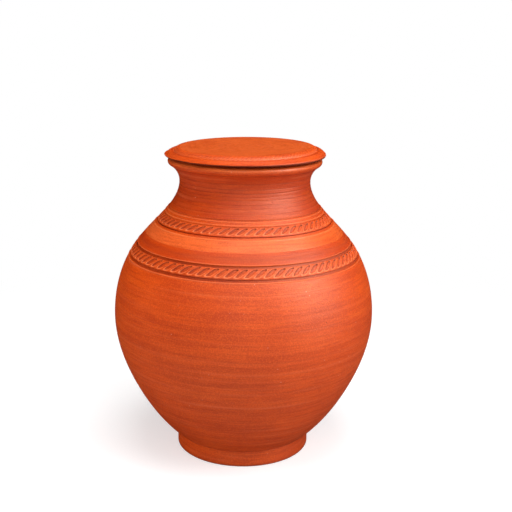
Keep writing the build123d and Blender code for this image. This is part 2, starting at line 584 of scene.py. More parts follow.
def rope_marks_group() -> Tree:
    """Make the tree that presses leaf-shaped rope marks, with painted shade and highlight, into a
    band of a turned surface.
    """
    names = ("Count", "Lean", "Leaf Height", "Leaf Width", "Depth", "Painted Shade", "Painted Highlight")
    ins = {"Surface": GEOMETRY} | dict.fromkeys(names, FLOAT) | {"Leaf Seed": INT}
    board = Board.geometry("rope_marks", ins)
    given, ramp = board.given, board.ramp
    position = board.place()
    right, back, _ = board.parts(position)
    turn = board.calc("ARCTAN2", back, right) / math.tau + 0.5
    radius = board.vector("LENGTH", board.vector("MULTIPLY", position, FLAT))
    across = board.stored("across")
    pitch = radius * math.tau / given("Count")
    slant = across * board.calc("TANGENT", given("Lean"))
    place = turn * given("Count") - slant / pitch
    cell = board.calc("FLOOR", place)
    number = board.calc("WRAP", cell, given("Count"), 0.0)
    chance = {"Min": -1.0, "Max": 1.0, "ID": number, "Seed": given("Leaf Seed")}
    luck = board.read("FunctionNodeRandomValue", chance, "Value", data_type="FLOAT")

    half_width = given("Leaf Width") * 0.5 * (luck * LEAF_WIDTH_LUCK + 1.0)
    side = (place - cell - 0.5) * pitch / half_width
    rise = across / (given("Leaf Height") * 0.5)
    reach = abs(side) ** LEAF_SIDE_POWER + abs(rise) ** LEAF_END_POWER
    inward = 1.0 - reach
    deepest = given("Depth") * (luck * LEAF_DEPTH_LUCK + (1.0 - LEAF_DEPTH_LUCK))
    surface = board.press(given("Surface"), ramp(inward, -0.05, 0.55) * deepest)

    # Painted shade on each mark's left side and upper corner, and a painted highlight round it,
    # strongest below.
    left = ramp(side, 0.45, -0.85) * 0.42 + 0.20
    corner = ramp(rise, 0.42, 0.80) * ramp(side, -0.6, 0.25)
    dark = board.calc("MAXIMUM", left, corner) * ramp(inward, 0.0, 0.22) * given("Painted Shade")
    ring = ramp(reach, 0.72, 1.0) * ramp(reach, 2.6, 1.1)
    below = ramp(rise, 0.1, -0.9) * 0.75 + 0.25
    for name, value in (("painted_shade", dark), ("painted_highlight", ring * below * given("Painted Highlight"))):
        value = board.calc("MAXIMUM", board.stored(name), value)
        surface = board.store(surface, name, value)
    return board.give(Surface=surface)


def uneven_top_group() -> Tree:
    """Make the tree that lets a piece's top slope a little, as hand work does.

    The top is only ever lowered, and its underside stays level.
    """
    names = ("Slope Right", "Slope Back", "Low", "High", "Reach")
    board = Board.geometry("uneven_top", {"Surface": GEOMETRY} | dict.fromkeys(names, FLOAT))
    given = board.given
    x, y, z = board.parts(board.place())
    right = board.calc("TANGENT", given("Slope Right"))
    back = board.calc("TANGENT", given("Slope Back"))
    steepest = board.calc("SQRT", right * right + back * back)
    lift = board.calc("MINIMUM", x * right + y * back - steepest * given("Reach"), 0.0)
    offset = board.xyz(z=lift * board.ramp(z, given("Low"), given("High")))
    return board.give(Surface=board.move(given("Surface"), Offset=offset))


def inputs_of(tree: Tree) -> dict[str, str]:
    """Type of each of a tree's inputs, by name."""
    items = tree.interface.items_tree
    return {item.name: item.socket_type for item in items if item.in_out == "INPUT"}


@dataclass(frozen=True)
class Rings:
    """Thrower's rings that a piece keeps: their depth, their spacing and their pattern."""

    depth: float
    spacing: float
    seed: float

    def values(self) -> dict[str, object]:
        """Inputs of the wheel's tree for these rings."""
        depth, spacing = self.depth * MM, self.spacing * MM
        return {"Ring Depth": depth, "Ring Spacing": spacing, "Ring Seed": self.seed}


@dataclass(frozen=True)
class Marks:
    """Slanted leaf-shaped rope marks pressed round a piece.

    Attributes:
        count: how many there are.
        seed: number that sets their small differences.
        height: height of one, along the section.
        width: its width round the piece.
        depth: how deep it is pressed.
        lean: how far it leans to the right, in degrees.
        dark: how strong the painted shade inside it is.
        edge: how strong the painted highlight round its edge is.
        steps: how many sides of the mesh each one gets.
    """

    count: int
    seed: int
    height: float
    width: float
    depth: float = 1.0
    lean: float = 47.0
    dark: float = 0.95
    edge: float = 0.8
    steps: int = 18

    def values(self) -> dict[str, object]:
        """Inputs of the wheel's tree for these marks."""
        return {
            "Sides": self.count * self.steps,
            "Count": float(self.count),
            "Lean": math.radians(self.lean),
            "Leaf Height": self.height * MM,
            "Leaf Width": self.width * MM,
            "Depth": self.depth * MM,
            "Painted Shade": self.dark,
            "Painted Highlight": self.edge,
            "Leaf Seed": self.seed,
        }


@dataclass
class Wheel:
    """The potter's wheel: turns a section into a finished mesh with Geometry Nodes.

    Attributes:
        turning: tree that turns a section.
        rings: tree that leaves a thrower's rings.
        marks: tree that presses rope marks.
        slope: tree that makes a top slope a little.
    """

    turning: Tree = field(default_factory=turning_group)
    rings: Tree = field(default_factory=wheel_rings_group)
    marks: Tree = field(default_factory=rope_marks_group)
    slope: Tree = field(default_factory=uneven_top_group)

    def tree(self, name: str, *extras: Tree) -> Tree:
        """Join the wheel's trees into one that makes a whole piece.

        Args:
            name: the tree's name.
            extras: trees that work on the surface after turning and rings.

        Returns:
            The tree, which ends in plain geometry with its material set.
        """
        chain = (self.turning, self.rings, *extras)
        ins = {title: kind for tree in chain for title, kind in inputs_of(tree).items()}
        del ins["Surface"]
        board = Board.geometry(name, ins | {"Clay": MATERIAL})
        surface = board.given("Section")
        for tree in chain:
            values = {
                title: surface if kind == GEOMETRY else board.given(title)
                for title, kind in inputs_of(tree).items()
            }
            surface = board.read("GeometryNodeGroup", values, node_tree=tree)
        smooth = {"Geometry": surface, "Shade Smooth": True}
        surface = board.read("GeometryNodeSetShadeSmooth", smooth)
        surface = board.read("GeometryNodeRealizeInstances", {0: surface})
        finish = {"Geometry": surface, "Material": board.given("Clay")}
        return board.give(Surface=board.read("GeometryNodeSetMaterial", finish))

    @staticmethod
    def throw(
        name: str,
        section: SectionDraft,
        tree: Tree,
        clay: bpy.types.Material,
        values: dict[str, object],
    ) -> bpy.types.Object:
        """Turn a section and keep the result as a plain mesh.

        Args:
            name: the piece's name.
            section: the section that it is turned from.
            tree: the tree that turns it.
            clay: the clay's finish.
            values: the tree's other inputs, by name.

        Returns:
            The finished piece, with no modifier, at the origin.
        """
        values = values | {"Clay": clay}
        blank = section.make_object(f"{name}_section")
        modifier = blank.modifiers.new("turn", "NODES")
        modifier.node_group = tree
        for item in tree.interface.items_tree:
            if item.in_out == "INPUT" and item.name in values:
                modifier[item.identifier] = values[item.name]
        graph = bpy.context.evaluated_depsgraph_get()
        mesh = bpy.data.meshes.new_from_object(
            blank.evaluated_get(graph), preserve_all_data_layers=True, depsgraph=graph
        )
        mesh.name = name
        bpy.data.objects.remove(blank)
        return add_object(name, mesh)


# ---------------------------------------------------------------------------
# Clay
# ---------------------------------------------------------------------------


def clay_colour(red: int, green: int, blue: int) -> Colour:
    """Turn a colour as it is seen on a screen, 0 to 255, into Blender's own."""
    parts = [value / 255 for value in (red, green, blue)]
    linear = [v / 12.92 if v <= 0.04045 else ((v + 0.055) / 1.055) ** 2.4 for v in parts]
    return (*linear, 1.0)


def streaks_group() -> Tree:
    """Make the group for what a turning wheel leaves: bands, fine lines, rubs and dashes."""
    names = ("Run", "Broad Spacing", "Fine Spacing", "Wander", "Seed")
    ins = {"Place": VECTOR} | dict.fromkeys(names, FLOAT)
    board = Board.shading("wheel_streaks", ins, ("Broad", "Fine", "Rub", "Dash"))
    given, ramp = board.given, board.ramp
    way = board.vector("NORMALIZE", board.vector("MULTIPLY", given("Place"), FLAT))
    drift = board.noise(given("Place"), 7.0, 1.0)
    run = (drift - 0.5) * given("Wander") + given("Run")

    def lines(spacing: Wire, reach: float, offset: float, detail: float) -> Wire:
        """Add noise that is long round the piece and short along its section."""
        shift = given("Seed") + offset
        level = board.xyz(shift, shift, run / spacing)
        spot = board.vector("MULTIPLY_ADD", way, (reach, reach, 0.0), level)
        return board.noise(spot, 1.0, detail, 0.6)

    def rings(spacing: float, offset: float, width: float) -> Wire:
        """Draw thin level lines, each at its own place and strength, that come and go."""
        level = run / (spacing * MM)
        cell = board.calc("FLOOR", level)
        key = {"W": cell + (given("Seed") + offset)}
        chance = board.read("ShaderNodeTexWhiteNoise", key, "Color", noise_dimensions="1D")
        middle, start, strength = board.parts(chance, "Color")
        off = abs(level - cell - (middle * 0.6 + 0.2))
        line = 1.0 - ramp(off, 0.0, width / spacing)
        tall = board.xyz(offset, 0.0, start * 7.0 + cell)
        spot = board.vector("MULTIPLY_ADD", way, (1.1, 1.1, 0.0), tall)
        return line * (strength * ramp(board.noise(spot, 1.0, 2.0), 0.42, 0.62))

    broad = lines(given("Broad Spacing"), reach=1.3, offset=0.0, detail=3.0)
    fine = lines(given("Fine Spacing"), reach=3.0, offset=17.0, detail=4.0)
    short = lines(given("Fine Spacing"), reach=7.0, offset=97.0, detail=1.0)
    wide = rings(spacing=11.0, offset=11.0, width=2.4)
    narrow = rings(spacing=4.3, offset=53.0, width=0.8)
    rub = board.calc("MAXIMUM", wide, narrow * 0.7)
    dash = ramp(short, 0.62, 0.76) * ramp(broad, 0.50, 0.62)
    return board.give(Broad=broad, Fine=fine, Rub=rub, Dash=dash)


def grain_group() -> Tree:
    """Make the group for the clay's own grain: mottling, grain, pale specks and pits."""
    ins = {"Place": VECTOR, "Grain Size": FLOAT, "Speck Share": FLOAT}
    board = Board.shading("clay_grain", ins, ("Mottle", "Grain", "Speck", "Pit"))
    place, share = board.given("Place"), board.given("Speck Share")
    mottle = board.noise(place, 22.0, 5.0, 0.62)
    grain = board.noise(place, 1.0 / board.given("Grain Size"), 3.0, 0.7)

    def dots(scale: float, size: float, share: Wire) -> Wire:
        """Add round dots in some of the cells of a Voronoi pattern."""
        cells = board.add("ShaderNodeTexVoronoi", {"Vector": place, "Scale": scale})
        distance, colour = (Wire(board, cells.outputs[i]) for i in ("Distance", "Color"))
        chance, small, _ = board.parts(colour, "Color")
        radius = small * size
        near = 1.0 - board.ramp(distance, radius * 0.5, radius)
        return board.calc("LESS_THAN", chance, share) * near

    speck = dots(scale=300.0, size=0.22, share=share)
    pit = dots(scale=260.0, size=0.20, share=share * 0.8)
    return board.give(Mottle=mottle, Grain=grain, Speck=speck, Pit=pit)


@dataclass(frozen=True)
class ClayFinish:
    """Unglazed red clay, as one kind of piece wears it.

    Attributes:
        name: the material's name.
        seed: number that sets this piece's pattern apart.
        clay: colour of the clay as fired.
        deep: colour of its darker mottling and streaks.
        dusty: colour of its paler grain and streaks.
        burnished: colour where it is rubbed smooth.
        rubbed: colour of the thin pale lines.
        painted_highlight: colour of the painted highlight on raised edges.
        speck: colour of pale specks.
        shadow: colour of the painted shade at the bottom of cuts and marks, also used for the
            pits.
        painted_gap_shadow: colour of the painted black shadow deep in the gap under the lid.
        broad_spacing: spacing of the broad streaks, in millimetres.
        fine_spacing: spacing of the fine scratches, in millimetres.
        wander: how far the streaks stray from level, in millimetres.
        grain_size: size of the grain, in millimetres.
        roughness: roughness of the plain surface.
        specular: strength of the surface's sheen.
        sheen_tint: colour of that sheen.
        line_bump: height of the fine lines, in millimetres.
        grain_bump: height of the grain, in millimetres.
        pit_depth: depth of the pits, in millimetres.
        speck_share: share of the grain cells that hold a pale speck.
        rub_share: strength of the thin pale lines.
    """

    name: str
    seed: float = 0.0
    clay: Colour = clay_colour(219, 76, 8)
    deep: Colour = clay_colour(184, 51, 4)
    dusty: Colour = clay_colour(238, 104, 28)
    burnished: Colour = clay_colour(244, 113, 54)
    rubbed: Colour = clay_colour(228, 106, 62)
    painted_highlight: Colour = clay_colour(252, 138, 84)
    speck: Colour = clay_colour(238, 176, 146)
    shadow: Colour = clay_colour(96, 24, 8)
    painted_gap_shadow: Colour = clay_colour(12, 5, 3)
    broad_spacing: float = 7.0
    fine_spacing: float = 2.0
    wander: float = 5.0
    grain_size: float = 1.35
    roughness: float = 0.48
    specular: float = 1.0
    sheen_tint: Colour = (1.0, 0.86, 0.68, 1.0)
    line_bump: float = 0.18
    grain_bump: float = 0.22
    pit_depth: float = 0.15
    speck_share: float = 0.05
    rub_share: float = 0.5

    def build(self, streaks: Tree, grain: Tree) -> bpy.types.Material:
        """Make the material.

        Args:
            streaks: the group for wheel lines.
            grain: the group for the clay's grain.

        Returns:
            The material.
        """
        material = bpy.data.materials.new(self.name)
        material.use_nodes = True
        board = Board(material.node_tree)
        ramp = board.ramp
        place = board.read("ShaderNodeTexCoord", None, "Object")

        def mask(name: str) -> Wire:
            """Read one of the numbers that the section carries."""
            return board.read("ShaderNodeAttribute", None, "Fac", attribute_name=name)

        def group(tree: Tree, inputs: Inputs, *outputs: str) -> list[Wire]:
            """Add a shader group and read some of its outputs."""
            node = board.add("ShaderNodeGroup", {"Place": place} | inputs, node_tree=tree)
            return [Wire(board, node.outputs[name]) for name in outputs]

        lines = {
            "Run": mask("run"),
            "Broad Spacing": self.broad_spacing * MM,
            "Fine Spacing": self.fine_spacing * MM,
            "Wander": self.wander * MM,
            "Seed": self.seed,
        }
        broad, fine, rub, dash = group(streaks, lines, "Broad", "Fine", "Rub", "Dash")
        body = {"Grain Size": self.grain_size * MM, "Speck Share": self.speck_share}
        mottle, grit, speck, pit = group(grain, body, "Mottle", "Grain", "Speck", "Pit")
        painted_shade, burnish, brushed = mask("painted_shade"), mask("burnish"), mask("brushed")
        inside, painted_highlight = mask("inside"), mask("painted_highlight")

        coats = (
            (burnish * 0.75, self.burnished),
            (ramp(mottle, 0.38, 0.70) * 0.45 * (burnish * -0.6 + 1.0), self.deep),
            (ramp(broad, 0.46, 0.68) * (burnish * -0.3 + 0.55), self.deep),
            (ramp(fine, 0.44, 0.64) * (brushed * 0.45 + 0.50), self.deep),
            (ramp(1.0 - broad, 0.52, 0.76) * 0.30, self.dusty),
            (ramp(grit, 0.50, 0.62) * 0.40, self.dusty),
            ((1.0 - ramp(grit, 0.38, 0.50)) * 0.42, self.deep),
            (brushed * 0.46, self.deep),
            (rub * self.rub_share * (grit * 0.9 + 0.5), self.rubbed),
            (dash * 0.55, self.deep),
            (painted_highlight * 0.8, self.painted_highlight),
            (inside * 0.35, self.deep),
            # Painted shade in cuts, marks and gaps: the shadow colour up to 1, then painted black
            # from 1 to 2.
            (board.calc("MINIMUM", painted_shade, 1.0) * 0.9, self.shadow),
            (ramp(painted_shade, 1.0, 2.0), self.painted_gap_shadow),
            (speck * 0.6, self.speck),
            (pit * 0.5, self.shadow),
        )
        colour: Wire | Colour = self.clay
        for share, coat in coats:
            colour = board.tint(share, colour, coat)

        rough = (fine - 0.5) * 0.25 + self.roughness + burnish * -0.10 + inside * 0.28
        rough = board.calc("MULTIPLY_ADD", painted_shade, 0.18, rough, clamp=True)
        ridges = fine * (self.line_bump * MM) * (brushed * 1.2 + (burnish * -0.7 + 1.0))
        height = ridges + grit * (self.grain_bump * MM) - pit * (self.pit_depth * MM)
        bump = {"Height": height, "Strength": 1.0, "Distance": 1.0}
        finish = {
            "Base Color": colour,
            "Roughness": rough,
            "Normal": board.read("ShaderNodeBump", bump, "Normal"),
            "Specular IOR Level": self.specular,
            "Specular Tint": self.sheen_tint,
            "IOR": 1.5,
        }
        shader = board.read("ShaderNodeBsdfPrincipled", finish)
        board.add("ShaderNodeOutputMaterial", {"Surface": shader})
        return material


# ---------------------------------------------------------------------------
# Jar
# ---------------------------------------------------------------------------


@dataclass
class WallShape:
    """Outside of the jar's wall, from the base to the seat on the rim.

    Attributes hold the jar's driving sizes in millimetres. The tables give how far up each
    stretch a point lies and how far out, as shares of that stretch.
    """

    foot_height: float = 18.4
    base_radius: float = 74.4
    base_spread: float = 1.15
    belly_radius: float = 139.7
    belly_height: float = 152.0
    neck_radius: float = 69.3
    neck_height: float = 295.5
    lower_rise_shares: tuple[float, ...] = (0.20, 0.45, 0.70)
    lower_swell_shares: tuple[float, ...] = (0.373, 0.687, 0.900)
    shoulder_rise_shares: tuple[float, ...] = (0.30, 0.50, 0.63, 0.75, 0.88)
    shoulder_swell_shares: tuple[float, ...] = (0.907, 0.714, 0.505, 0.270, 0.070)
    seat_height: float = 321.0
    rim_radius: float = 81.4
    bead_radius: float = 4.4
    bead_top_radius: float = 3.0
    bead_top_angle: float = 84.0
    seat_corner_radius: float = 0.8
    seat_radius: float = 75.2

    def belly(self) -> list[Point]:
        """Draw the wall from the base to the widest place."""
        swell = self.belly_radius - self.base_radius
        rise = self.belly_height - self.foot_height
        points = [(self.base_radius, self.foot_height)]
        for up, out in zip(self.lower_rise_shares, self.lower_swell_shares):
            points.append((self.base_radius + swell * out, self.foot_height + rise * up))
        points.append((self.belly_radius, self.belly_height))
        return smooth_line(points, (self.base_spread, 1.0), (0.0, 1.0))

    def shoulder(self) -> list[Point]:
        """Draw the wall from the widest place to the neck."""
        draw_in = self.belly_radius - self.neck_radius
        climb = self.neck_height - self.belly_height
        points = [(self.belly_radius, self.belly_height)]
        for up, out in zip(self.shoulder_rise_shares, self.shoulder_swell_shares):
            points.append((self.neck_radius + draw_in * out, self.belly_height + climb * up))
        points.append((self.neck_radius, self.neck_height))
        return smooth_line(points, (0.0, 1.0), (0.0, 1.0))

    def rim(self) -> list[Point]:
        """Draw the cove over the neck, the rim's bead and the slope up to the seat."""
        bead = (self.rim_radius - self.bead_radius, self.seat_height - self.bead_radius)
        reach = bead[0] - self.neck_radius
        climb = bead[1] - self.neck_height
        square = reach**2 + climb**2 - self.bead_radius**2
        cove_radius = square / (2 * (reach + self.bead_radius))
        cove = (self.neck_radius + cove_radius, self.neck_height)
        meet = math.degrees(math.atan2(bead[1] - cove[1], bead[0] - cove[0]))
        top = (self.rim_radius - self.bead_top_radius, bead[1])
        seat = (self.seat_radius, self.seat_height)
        points = arc(cove, cove_radius, 180.0, meet, 16)
        points += arc(bead, self.bead_radius, meet - 180.0, 0.0, 12)
        points += arc(top, self.bead_top_radius, 0.0, self.bead_top_angle, 10)
        low = (top[0], top[1] + self.bead_top_radius)
        points += round_corner(points[-1], low, seat, self.seat_corner_radius, 4)
        return [*points, seat]

    def path(self) -> SectionPath:
        """Join the wall's stretches into one path."""
        return SectionPath(self.belly() + self.shoulder() + self.rim())


@dataclass
class RopeBand:
    """A clay band round the shoulder with leaf-shaped rope marks pressed into it.

    Attributes:
        name: the band's CAD node.
        share: where its middle lies on the shoulder, as a share of the shoulder's length.
        width: its width along the wall.
        upper_groove: width of the groove over it.
        lower_groove: width of the groove under it.
        marks: the marks pressed into it.
        channel_depth: depth of the channel that it sits in.
        slip: thickness of the slip that joins it to the wall.
        edge_sink: how far its edges lie under the wall's surface.
        crown_rise: how far its middle stands out from the wall.
        leaf_lift: how far the marks lie over its middle.
        steps: how many steps its crowned top has.
    """

    name: str
    share: float
    width: float
    upper_groove: float
    lower_groove: float
    marks: Marks
    channel_depth: float = 1.6
    slip: float = 0.15
    edge_sink: float = 0.45
    crown_rise: float = 0.15
    leaf_lift: float = 0.5
    steps: int = 30
    piece: bpy.types.Object | None = None

    def middle(self, shape: WallShape) -> float:
        """Distance of the band's middle along the whole wall."""
        start = SectionPath(shape.belly()).length
        return start + self.share * SectionPath(shape.shoulder()).length

    def section(self, wall: SectionPath, shape: WallShape) -> SectionDraft:
        """Draw the band: a low crowned top, upright sides and a flat seat in its channel."""
        middle = self.middle(shape)
        half = self.width / 2
        seat = self.slip - self.channel_depth
        side = (seat, seat * 0.6, seat * 0.2)
        draft = SectionDraft()
        draft.add([wall.beside(middle - half, out) for out in side])
        for i in range(self.steps + 1):
            across = -half + self.width * i / self.steps
            dome = 1 - abs(across / half) ** 8
            out = -self.edge_sink + (self.crown_rise + self.edge_sink) * dome
            draft.add([wall.beside(middle + across, out)], across=across - self.leaf_lift)
        draft.add([wall.beside(middle + half, out) for out in reversed(side)])
        draft.add([wall.beside(middle + half * x, seat) for x in (0.5, 0.0, -0.5, -1.0)])
        return draft

    def build(
        self, wheel: Wheel, wall: SectionPath, shape: WallShape, clay: bpy.types.Material
    ) -> None:
        """Throw the band and press its marks."""
        section = self.section(wall, shape)
        tree = wheel.tree("marked_piece", wheel.marks)
        values = self.marks.values() | Rings(0.02, 1.2, 3.0 + self.marks.seed).values()
        self.piece = wheel.throw(f"{self.name}_clay", section, tree, clay, values)

    def dress(self) -> None:
        """Put the band on the jar in place of its CAD node."""
        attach(self.piece, "jar")
        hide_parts(self.name)


@dataclass
class JarBody:
    """The thrown body: belly, shoulder, neck, rim and the space inside.

    Attributes:
        shape: the outside of its wall.
        bands: the bands that sit in its channels.
        cuts: lines cut or raised in the wall.
        zones: stretches with a skin of their own.
        rings: thrower's rings in the wall.
        channel_painted_shade: painted shade at the bottom of the bands' channels.
        seat_painted_shadow: painted shadow on the rim where the lid rests over it.
        seat_drop: how far under the seat that painted shadow starts.
        seat_fade: height over which it grows.
        wall: thickness of the wall.
        floor_height: height of the floor inside.
        floor_corner: radius between floor and wall.
        mouth_radius: radius of the mouth at the seat.
        lip_radius: rounding of the mouth's edge.
        lower_stations: shares of the lower wall where the inside follows it.
        shoulder_stations: shares of the shoulder where the inside follows it.
        sides: how many sides the turned mesh has.
        spacing: distance between rings of the mesh outside.
        neck_spacing: the same from the neck up.
    """

    shape: WallShape
    bands: list[RopeBand]
    cuts: tuple[WheelCut, ...] = (
        WheelCut(23.0, 1.6, 0.12, 0.10),
        WheelCut(171.0, 2.0, 0.10, 0.05),
        WheelCut(205.5, 1.6, 0.12, 0.08),
        WheelCut(216.7, 1.2, -0.35, painted_highlight=0.65),
        WheelCut(231.9, 1.2, -0.35, painted_highlight=0.50),
        # No depth: this one only darkens the band with the painted-shade colour.
        WheelCut(236.9, 10.0, 0.0, 0.20),
        WheelCut(242.2, 1.4, 0.16, 0.12),
        WheelCut(251.6, 1.4, -0.35, painted_highlight=0.70),
        WheelCut(264.2, 1.3, -0.50, painted_highlight=0.85),
        WheelCut(267.2, 1.3, -0.55, painted_highlight=0.90),
        WheelCut(268.9, 1.6, 0.50, 0.50),
        WheelCut(274.0, 1.8, 0.18, 0.18),
        WheelCut(278.5, 1.6, 0.16, 0.18),
        WheelCut(282.0, 2.0, 0.24, 0.24),
        WheelCut(286.5, 1.6, 0.20, 0.26),
        WheelCut(289.5, 1.4, 0.16, 0.18),
        WheelCut(293.0, 1.8, 0.24, 0.30),
        WheelCut(297.0, 1.6, 0.20, 0.26),
        WheelCut(302.5, 1.6, 0.24, 0.30),
        WheelCut(311.6, 1.5, 0.35, 0.55),
    )
    zones: tuple[WheelZone, ...] = (
        WheelZone(232.0, 241.8, Skin.BRUSHED),
        WheelZone(241.8, 252.4, Skin.BURNISHED),
        WheelZone(269.6, 312.0, Skin.BRUSHED),
        WheelZone(316.0, 319.9, Skin.BURNISHED),
    )
    rings: Rings = Rings(0.16, 5.0, 11.0)
    channel_painted_shade: float = 0.42
    seat_painted_shadow: float = 1.5
    seat_drop: float = 0.5
    seat_fade: float = 0.3
    wall: float = 8.0
    floor_height: float = 28.4
    floor_corner: float = 12.0
    mouth_radius: float = 71.5
    lip_radius: float = 2.5
    lower_stations: tuple[float, ...] = (0.0, 0.20, 0.40, 0.60, 0.80)
    shoulder_stations: tuple[float, ...] = (0.10, 0.25, 0.40, 0.55, 0.70, 0.85)
    sides: int = 200
    spacing: float = 1.8
    neck_spacing: float = 0.8
    piece: bpy.types.Object | None = None

    CUT_STATIONS = (-1.2, -1, -0.5, 0, 0.5, 1, 1.2)
    EDGE_STATIONS = (-0.4, -0.12, -0.02, 0.02, 0.12, 0.4)
    EDGE_CLEAR = 0.5
    LEAST_STEP = 0.015
    INSIDE_SPACING = 5.0
    FLOOR_SHARES = (0.8, 0.6, 0.4, 0.2, 0.05, 0.0)
    UNDERSIDE_SHARES = (0, 0.05, 0.3, 0.6, 0.8, 0.95, 0.99)

    def relief(self, run: float, wall: SectionPath) -> tuple[float, float, float]:
        """Work out how far the surface lies off the plain wall.

        Args:
            run: distance along the wall.
            wall: the wall's path.

        Returns:
            The distance out from the wall, and the painted shade and painted highlight there.
        """
        out, dark, painted_highlight = 0.0, 0.0, 0.0
        for cut in self.cuts:
            reach = abs(run - wall.run_at_height(cut.height)) / (cut.width / 2)
            if reach < 1:
                swing = 0.5 + 0.5 * math.cos(math.pi * reach)
                out -= cut.depth * swing
                dark = max(dark, cut.dark * swing)
                painted_highlight = max(painted_highlight, cut.painted_highlight * swing)
        for band in self.bands:
            low, high = self.channel(band)
            if low < run < high:
                out, dark = -band.channel_depth, self.channel_painted_shade
        return out, dark, painted_highlight

    def channel(self, band: RopeBand) -> tuple[float, float]:
        """Distances along the wall where a band's channel starts and ends."""
        middle, half = band.middle(self.shape), band.width / 2
        return middle - half - band.lower_groove, middle + half + band.upper_groove

    def stations(self, wall: SectionPath) -> list[float]:
        """Choose where the mesh has rings: evenly, and closer at each cut and channel."""
        neck = wall.run_at_height(self.shape.neck_height)
        places = set(np.arange(0.0, neck, self.spacing))
        places |= set(np.arange(neck, wall.length, self.neck_spacing))
        for cut in self.cuts:
            middle = wall.run_at_height(cut.height)
            places |= {middle + cut.width / 2 * x for x in self.CUT_STATIONS}
        for edge in (edge for band in self.bands for edge in self.channel(band)):
            places = {p for p in places if abs(p - edge) > self.EDGE_CLEAR}
            places |= {edge + x for x in self.EDGE_STATIONS}
        places.add(wall.length)
        kept = [0.0]
        for place in sorted(places):
            if place - kept[-1] > self.LEAST_STEP:
                kept.append(place)
        return kept

    def skin_at(self, height: float) -> Skin:
        """Say what the wall's skin is at a height."""
        found = (zone.skin for zone in self.zones if zone.low <= height < zone.high)
        return next(found, Skin.WHEEL)

    def inside_line(self, wall: SectionPath) -> list[Point]:
        """Draw the inside, from the mouth's edge down to the middle of the floor."""
        shape = self.shape
        bore = shape.neck_radius - self.wall
        spread = self.mouth_radius - bore
        climb = shape.seat_height - shape.neck_height
        radius = (spread**2 + climb**2) / (2 * spread)
        sweep = math.degrees(math.asin(climb / radius))
        mouth = arc((bore + radius, shape.neck_height), radius, 180.0 - sweep, 180.0, 24)
        seat = (shape.seat_radius, shape.seat_height)
        lip = round_corner(seat, mouth[0], mouth[3], self.lip_radius, 6)

        def follow(stretch: list[Point], shares: tuple[float, ...]) -> list[Point]:
            """Go down the inside of a stretch of wall."""
            path = SectionPath(stretch)
            return [path.beside(share * path.length, -self.wall) for share in reversed(shares)]

        low = [(bore, shape.neck_height), *follow(shape.shoulder(), self.shoulder_stations)]
        low.append((shape.belly_radius - self.wall, shape.belly_height))
        low += follow(shape.belly(), self.lower_stations)
        corner_top = self.floor_height + self.floor_corner
        low = smooth_line(low, spacing=self.INSIDE_SPACING)
        low = [point for point in low if point[1] > corner_top]
        ahead = Vector(low[-1]) - Vector(low[-2])
        fall = (self.floor_height - low[-1][1]) / ahead.y
        corner = tuple(Vector(low[-1]) + ahead * fall)
        centre = (0.0, self.floor_height)
        floor = round_corner(low[-1], corner, centre, self.floor_corner, 8)
        rings = [(floor[-1][0] * x, self.floor_height) for x in self.FLOOR_SHARES]
        return lip + [p for p in mouth if p[1] < lip[-1][1]] + low + floor + rings

    def section(self) -> SectionDraft:
        """Draw the whole section, from the middle of the underside round to the floor."""
        wall = self.shape.path()
        base, foot = self.shape.base_radius, self.shape.foot_height
        draft = SectionDraft()
        draft.add([(base * x, foot) for x in self.UNDERSIDE_SHARES], Skin.INSIDE)
        for run in self.stations(wall):
            out, dark, painted_highlight = self.relief(run, wall)
            height = wall.at(run).y
            # Painted shadow on the rim where the lid rests over it.
            under_lid = (height - self.shape.seat_height + self.seat_drop) / self.seat_fade
            dark = max(dark, self.seat_painted_shadow * min(max(under_lid, 0.0), 1.0))
            point = (base, foot) if run == 0 else wall.beside(run, out)
            draft.add([point], self.skin_at(height), dark, painted_highlight=painted_highlight)
        draft.add(self.inside_line(wall), Skin.INSIDE)
        return draft

    def build(self, wheel: Wheel, clay: bpy.types.Material) -> None:
        """Throw the body."""
        values = {"Sides": self.sides} | self.rings.values()
        tree = wheel.tree("turned_piece")
        self.piece = wheel.throw("jar_body_clay", self.section(), tree, clay, values)

    def dress(self) -> None:
        """Put the body in place of its CAD node."""
        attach(self.piece, "jar")
        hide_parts("jar_body")


